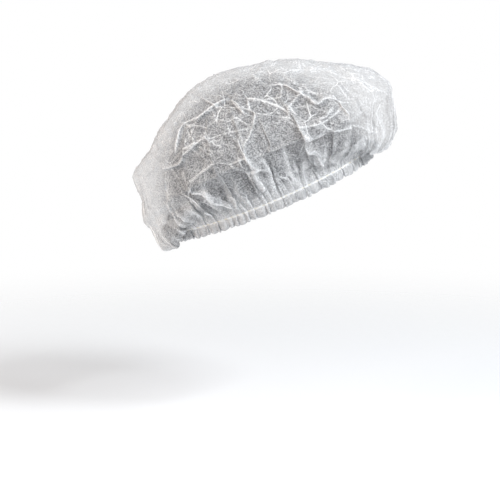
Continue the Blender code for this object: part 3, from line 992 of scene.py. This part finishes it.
fineCreases = {
    "turn": (-0.94, 0.0, 0.3),
    "longer": (1.0, 1.0, 0.45),
    "bendPace": 0.9,
    "bend": (0.5, 0.5, 0.5),
    "patchPace": 0.7,
    "patchEdge": 0.06,
    # Cell size in metres, line width as a share of it, and the share of the cloth that has such lines.
    "wide": (0.019, 0.030, 0.40),
    "small": (0.009, 0.045, 0.34),
    "smallFainter": 0.7,
}


def packingCreases():
    # Hair-thin straight creases too fine for the mesh, broken up so that no crease closes a cell.
    sizes = (("Cell Size", 0.012), ("Line Width", 0.05), ("Share", 0.5))
    group, sheet, given, result = newGroup("packingCreases", sizes, ("Line",))
    place = sheet.add("ShaderNodeTexCoord").outputs["Object"]
    turn, longer = fineCreases["turn"], fineCreases["longer"]
    place = sheet.add("ShaderNodeMapping", Vector=place, Rotation=turn, Scale=longer).outputs[0]
    scaled = sheet.scaled(place, sheet.math("DIVIDE", 1.0, given.outputs["Cell Size"]))
    bendPace, patchPace = fineCreases["bendPace"], fineCreases["patchPace"]
    bend = sheet.add("ShaderNodeTexNoise", Vector=scaled, Scale=bendPace, Detail=1.0).outputs["Color"]
    bent = sheet.tree.nodes.new("ShaderNodeVectorMath")
    bent.operation = "MULTIPLY_ADD"
    sheet.put(bent, "n0", bend)
    bent.inputs[1].default_value = fineCreases["bend"]
    sheet.put(bent, "n2", scaled)
    settings = {"feature": "DISTANCE_TO_EDGE"}
    cells = sheet.add("ShaderNodeTexVoronoi", settings, Vector=bent.outputs[0], Scale=1.0)
    away = sheet.math("DIVIDE", cells.outputs["Distance"], given.outputs["Line Width"])
    line = sheet.range(away, 0.0, 1.0, 1.0, 0.0)
    broken = sheet.add("ShaderNodeTexNoise", Vector=scaled, Scale=patchPace, Detail=1.0).outputs["Fac"]
    start = sheet.math("SUBTRACT", 0.95, given.outputs["Share"])
    edge = fineCreases["patchEdge"]
    present = sheet.range(broken, sheet.math("SUBTRACT", start, edge), sheet.math("ADD", start, edge))
    group.links.new(sheet.math("MULTIPLY", line, present), result.inputs["Line"])
    return group


hollowLeast = 0.22


def capHollow():
    # How far a place belongs to the cap's shaded hollow, by its distance from the opening's cross axis: 1 near
    # that axis, least out in the puffs.
    group, sheet, given, result = newGroup("capHollow", (("Reach", 0.1), ("Edge", 0.016)), ("Depth",))
    place = sheet.add("ShaderNodeSeparateXYZ", Vector=sheet.add("ShaderNodeTexCoord").outputs["Object"])
    back, up = (sheet.math("POWER", place.outputs[axis], 2.0) for axis in (1, 2))
    away = sheet.math("SQRT", sheet.math("ADD", back, up))
    end = sheet.math("ADD", given.outputs["Reach"], given.outputs["Edge"])
    group.links.new(sheet.range(away, given.outputs["Reach"], end, 1.0, hollowLeast), result.inputs["Depth"])
    return group


def brightLines(sheet, look):
    # The creases too fine for the mesh by themselves, and together with every crest, crease, ridge and pleat.
    def lineGroup(sizes):
        cell, width, share = sizes
        settings = {"node_tree": creaseGroup}
        group = sheet.add("ShaderNodeGroup", settings, Cell_Size=cell, Line_Width=width, Share=share)
        return group.outputs["Line"]

    wide = lineGroup(fineCreases["wide"])
    small = sheet.math("MULTIPLY", lineGroup(fineCreases["small"]), fineCreases["smallFainter"])
    finest = sheet.math("MULTIPLY", sheet.math("MAXIMUM", wide, small), look["fineLines"])
    lines = sheet.math("MAXIMUM", sheet.attribute("crest"), finest)
    for name, light in (("line", "creaseLight"), ("ridge", "ridgeLight"), ("pleat", "pleatLight")):
        lines = sheet.math("MAXIMUM", lines, sheet.math("MULTIPLY", sheet.attribute(name), look[light]))
    return finest, lines


def clothMaterial(name, look):
    material = bpy.data.materials.new(name)
    material.use_nodes = True
    tree = material.node_tree
    sheet = NodeSheet(tree)
    shader = tree.nodes["Principled BSDF"]
    output = tree.nodes["Material Output"]
    web = sheet.add("ShaderNodeGroup", {"node_tree": webGroup})
    hollow = sheet.add("ShaderNodeGroup", {"node_tree": hollowGroup})
    sheet.put(web, "Thread Size", look["threadSize"])
    sheet.put(web, "Cloud Size", look["cloudSize"])
    sheet.put(hollow, "Reach", look["hollowReach"])
    sheet.put(hollow, "Edge", look["hollowEdge"])
    finest, lines = brightLines(sheet, look)
    threads = web.outputs["Threads"]
    clouds = web.outputs["Clouds"]
    gathered = sheet.range(sheet.attribute("above"), *look["gatheredEnds"], 1.0, 0.0)
    belowElastic = sheet.range(sheet.attribute("above"), -0.003, 0.002, look["gatheredBelow"], 1.0)
    gathered = sheet.math("MULTIPLY", gathered, belowElastic)
    # Coverage: thicker where threads cross, where the web is dense, in doubled folds and along creases.
    cover, tone = look["cover"], 0.0
    doubled = sheet.attribute("doubled")
    parts = {"thread": threads, "cloud": clouds, "doubled": doubled, "gathered": gathered, "line": lines}
    for part, value in parts.items():
        cover = sheet.math("ADD", cover, sheet.math("MULTIPLY", value, look[part + "Cover"]))
        tone = sheet.math("ADD", tone, sheet.math("MULTIPLY", value, look[part + "Tone"]))
    shade = sheet.math("MULTIPLY", sheet.attribute("valley"), look["valleyShade"])
    tone = sheet.math("SUBTRACT", tone, shade)
    colour = sheet.add("ShaderNodeMix", {"data_type": "RGBA", "clamp_factor": True})
    sheet.put(colour, "n0", tone)
    colour.inputs[6].default_value = (*look["shadeColour"], 1)
    colour.inputs[7].default_value = (*look["lightColour"], 1)
    # The inner side lies in the shade of the cap. Seen through a layer of cloth it is darker and closed, but
    # less so in the puffs, which light comes through from all sides.
    facing = sheet.add("ShaderNodeNewGeometry").outputs["Backfacing"]
    innerSide = facing if look["faceOutward"] else sheet.math("SUBTRACT", 1.0, facing)
    beyond = sheet.math("GREATER_THAN", sheet.add("ShaderNodeLightPath").outputs["Transparent Depth"], 0.5)
    beyond = sheet.math("MULTIPLY", sheet.math("MULTIPLY", innerSide, beyond), hollow.outputs["Depth"])
    inner = sheet.math("MAXIMUM", sheet.math("MULTIPLY", innerSide, look["innerShade"]), beyond)
    shaded = sheet.add("ShaderNodeMix", {"data_type": "RGBA"})
    sheet.put(shaded, "n0", inner)
    tree.links.new(colour.outputs[2], shaded.inputs[6])
    shaded.inputs[7].default_value = (*look["innerShadeColour"], 1)
    colour = shaded
    tree.links.new(colour.outputs[2], shader.inputs["Base Color"])
    for label, value in clothSurface.items():
        shader.inputs[label].default_value = value
    threadRelief = sheet.math("MULTIPLY", threads, look["threadRelief"])
    relief = sheet.math("ADD", threadRelief, sheet.math("MULTIPLY", finest, look["lineRelief"]))
    bump = sheet.add("ShaderNodeBump", Strength=look["bump"], Distance=look["bumpHeight"], Height=relief)
    tree.links.new(bump.outputs["Normal"], shader.inputs["Normal"])
    glow = sheet.add("ShaderNodeBsdfTranslucent", Normal=bump.outputs["Normal"])
    tree.links.new(colour.outputs[2], glow.inputs["Color"])
    cover = sheet.math("MAXIMUM", cover, sheet.math("MULTIPLY", beyond, look["hollowShadeCover"]))
    # The glowing share covers all of the cloth, so Alpha holds only what the rest adds to it.
    solid = sheet.range(cover, look["glow"], 1.0, kind="LINEAR")
    sheet.put(shader, "Alpha", solid)
    body = sheet.add("ShaderNodeMixShader", Fac=look["glow"], n1=shader.outputs[0], n2=glow.outputs[0])
    tree.links.new(body.outputs[0], output.inputs["Surface"])
    return material


def strandMaterial():
    # Elastic covered with thread, uneven in tone and slightly yellow.
    material = bpy.data.materials.new("coveredElastic")
    material.use_nodes = True
    sheet = NodeSheet(material.node_tree)
    shader = material.node_tree.nodes["Principled BSDF"]
    place = sheet.add("ShaderNodeTexCoord").outputs["Object"]
    fine = sheet.scaled(place, strandLook["perMetre"])
    turns = sheet.add("ShaderNodeTexNoise", Vector=fine, Scale=1.0, Detail=2.0).outputs["Fac"]
    colour = sheet.add("ShaderNodeMix", {"data_type": "RGBA"})
    sheet.put(colour, "n0", turns)
    colour.inputs[6].default_value = (*strandLook["shadeColour"], 1)
    colour.inputs[7].default_value = (*strandLook["lightColour"], 1)
    material.node_tree.links.new(colour.outputs[2], shader.inputs["Base Color"])
    shader.inputs["Roughness"].default_value = strandLook["roughness"]
    bump = sheet.add("ShaderNodeBump", Strength=0.5, Distance=strandLook["bumpHeight"], Height=turns)
    material.node_tree.links.new(bump.outputs["Normal"], shader.inputs["Normal"])
    return material


webGroup = spunbondWeb()
creaseGroup = packingCreases()
hollowGroup = capHollow()

crownLook = {
    "threadSize": 0.0009,
    "cloudSize": 0.008,
    # How much of the light the cloth stops, and how light it looks: plain, and by what is added.
    "cover": 0.10,
    "threadCover": 0.62,
    "cloudCover": 0.07,
    "doubledCover": 0.22,
    "gatheredCover": 0.16,
    "lineCover": 0.70,
    "threadTone": 0.6,
    "cloudTone": 0.20,
    "doubledTone": 0.0,
    "gatheredTone": 0.25,
    "lineTone": 0.80,
    "gatheredEnds": (0.004, 0.022),
    "gatheredBelow": 0.3,
    "fineLines": 0.75,
    "creaseLight": 0.8,
    "ridgeLight": 0.35,
    "pleatLight": 1.0,
    "valleyShade": 0.2,
    "shadeColour": (0.58, 0.595, 0.62),
    "lightColour": (0.97, 0.98, 0.99),
    "faceOutward": True,
    "innerShade": 0.35,
    # Painted shade: the inner side is darkened to this near black, and made nearly opaque where it is seen
    # through another layer.
    "innerShadeColour": (0.06, 0.06, 0.065),
    "hollowReach": 0.088,
    "hollowEdge": 0.030,
    "hollowShadeCover": 0.92,
    "threadRelief": 0.35,
    "lineRelief": 1.4,
    "bump": 0.6,
    "bumpHeight": 0.0004,
    "glow": 0.1,
}
hemLook = dict(
    crownLook,
    cover=0.36,
    ridgeLight=1.0,
    pleatLight=1.4,
    fineLines=0.5,
    shadeColour=(0.84, 0.86, 0.89),
    faceOutward=False,
    innerShade=0.3,
)
clothSurface = {"Roughness": 0.82, "Specular IOR Level": 0.28, "Sheen Weight": 0.12, "Sheen Roughness": 0.5}
strandLook = {
    "perMetre": 2600.0,
    "shadeColour": (0.70, 0.66, 0.56),
    "lightColour": (0.92, 0.90, 0.83),
    "roughness": 0.6,
    "bumpHeight": 0.0002,
}

crown = buildCrown()
hem = buildHem()
elastic = buildElastic()
dressed = (
    (crown, "crown", "crown_cloth"),
    (hem, "hem", "hem_cloth"),
    (elastic, "elastic", "elastic_strand"),
)
for piece, node, slot in dressed:
    leanBack(piece)
    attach(piece, "root")
    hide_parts(node)
crown.data.materials.append(clothMaterial("nonwovenCrown", crownLook))
hem.data.materials.append(clothMaterial("nonwovenHem", hemLook))
elastic.data.materials.append(strandMaterial())

# One oval of cloth, cut flat: as long as the way over the crown from brow to nape, with its edge turned up as
# the hem. Its width isn't measured.
cutLength, cutWidth = 0.532, 0.462
turnedUp = 2 * (capForm["hemBelow"] + capForm["hemAbove"])
foldLength, foldWidth = cutLength - turnedUp, cutWidth - turnedUp
foldArea = math.pi / 4 * foldLength * foldWidth
flapArea = math.pi / 4 * cutLength * cutWidth - foldArea
for piece, whole in ((crown, foldArea), (hem, flapArea)):
    share = sum(polygon.area for polygon in piece.data.polygons) / whole
    triangles = sum(len(polygon.vertices) - 2 for polygon in piece.data.polygons)
    print(piece.name, "area share", round(share, 3), "triangles", triangles)

studio = {
    "floorHeight": -0.212,
    "floorSolid": 0.25,  # the floor is whole within this distance and fades out by floorEnd
    "floorEnd": 0.9,
    "lensDistance": 2.0,
    "millimetresPerPixel": 0.925,
    "originPixel": (269.0, 188.5),
    "elevation": 9.0,
    "pixels": 500,
    "sensorWidth": 36.0,
    "skyColour": (0.45, 0.46, 0.475),
    "skySeen": (1.0, 1.0, 1.0),
    "lampTarget": (0, 0, 0.04),
}

# Name, place, power in watts, size and colour.
lampRows = (
    ("key", (-0.9, -1.1, 1.3), 38, (0.6, 0.6), (0.97, 0.985, 1.0)),
    ("warmBack", (-0.5, 1.5, 0.6), 16, (0.7, 0.7), (1.0, 0.82, 0.68)),
)


def addCamera():
    data = bpy.data.cameras.new("camera")
    camera = bpy.data.objects.new("camera", data)
    bpy.context.scene.collection.objects.link(camera)
    bpy.context.scene.camera = camera
    tilt = math.radians(studio["elevation"])
    look = Vector((math.cos(tilt), 0, -math.sin(tilt)))
    right = Vector((0, -1, 0))
    up = right.cross(look)
    pixel = studio["millimetresPerPixel"] / 1000
    across, down = (studio["pixels"] / 2 - place for place in studio["originPixel"])
    target = right * across * pixel - up * down * pixel
    camera.location = target - look * studio["lensDistance"]
    camera.rotation_euler = look.to_track_quat("-Z", "Y").to_euler()
    data.sensor_width = studio["sensorWidth"]
    data.sensor_fit = "HORIZONTAL"
    data.lens = studio["sensorWidth"] * studio["lensDistance"] / (studio["pixels"] * pixel)
    data.clip_end = 50


def addLamp(name, place, power, size, colour):
    data = bpy.data.lights.new(name, "AREA")
    data.energy = power
    data.shape = "RECTANGLE"
    data.size, data.size_y = size
    data.color = colour
    lamp = bpy.data.objects.new(name, data)
    bpy.context.scene.collection.objects.link(lamp)
    lamp.location = place
    lamp.rotation_euler = (Vector(studio["lampTarget"]) - Vector(place)).to_track_quat("-Z", "Y").to_euler()


def addSky():
    # Soft light from all round, dimmer than the white that shows behind the cap.
    world = bpy.data.worlds.new("studio")
    world.use_nodes = True
    tree = world.node_tree
    sheet = NodeSheet(tree)
    background = tree.nodes["Background"]
    colour = sheet.add("ShaderNodeMix", {"data_type": "RGBA"})
    sheet.put(colour, "n0", sheet.add("ShaderNodeLightPath").outputs["Is Camera Ray"])
    colour.inputs[6].default_value = (*studio["skyColour"], 1)
    colour.inputs[7].default_value = (*studio["skySeen"], 1)
    tree.links.new(colour.outputs[2], background.inputs["Color"])
    bpy.context.scene.world = world


def addFloor():
    # A pale round floor that fades into the white behind it.
    corners = 96
    turns = [2 * math.pi * i / corners for i in range(corners)]
    end = studio["floorEnd"]
    ring = [(math.cos(turn) * end, math.sin(turn) * end, studio["floorHeight"]) for turn in turns]
    floor = newObject("floor", ring, [tuple(range(corners))], smooth=False)
    material = bpy.data.materials.new("paleFloor")
    material.use_nodes = True
    sheet = NodeSheet(material.node_tree)
    shader = material.node_tree.nodes["Principled BSDF"]
    shader.inputs["Roughness"].default_value = 0.35
    place = sheet.add("ShaderNodeTexCoord").outputs["Object"]
    away = sheet.add("ShaderNodeVectorMath", {"operation": "LENGTH"}, n0=place).outputs["Value"]
    fade = sheet.range(away, studio["floorSolid"], studio["floorEnd"], 1.0, 0.0)
    grain = sheet.add("ShaderNodeTexNoise", Vector=place, Scale=3.0).outputs["Fac"]
    colour = sheet.add("ShaderNodeMix", {"data_type": "RGBA"})
    sheet.put(colour, "n0", grain)
    colour.inputs[6].default_value = (0.90, 0.93, 0.96, 1)
    colour.inputs[7].default_value = (0.93, 0.95, 0.97, 1)
    material.node_tree.links.new(colour.outputs[2], shader.inputs["Base Color"])
    material.node_tree.links.new(fade, shader.inputs["Alpha"])
    floor.data.materials.append(material)


bpy.context.scene.view_settings.view_transform = "Standard"
addCamera()
addSky()
addFloor()
for row in lampRows:
    addLamp(*row)
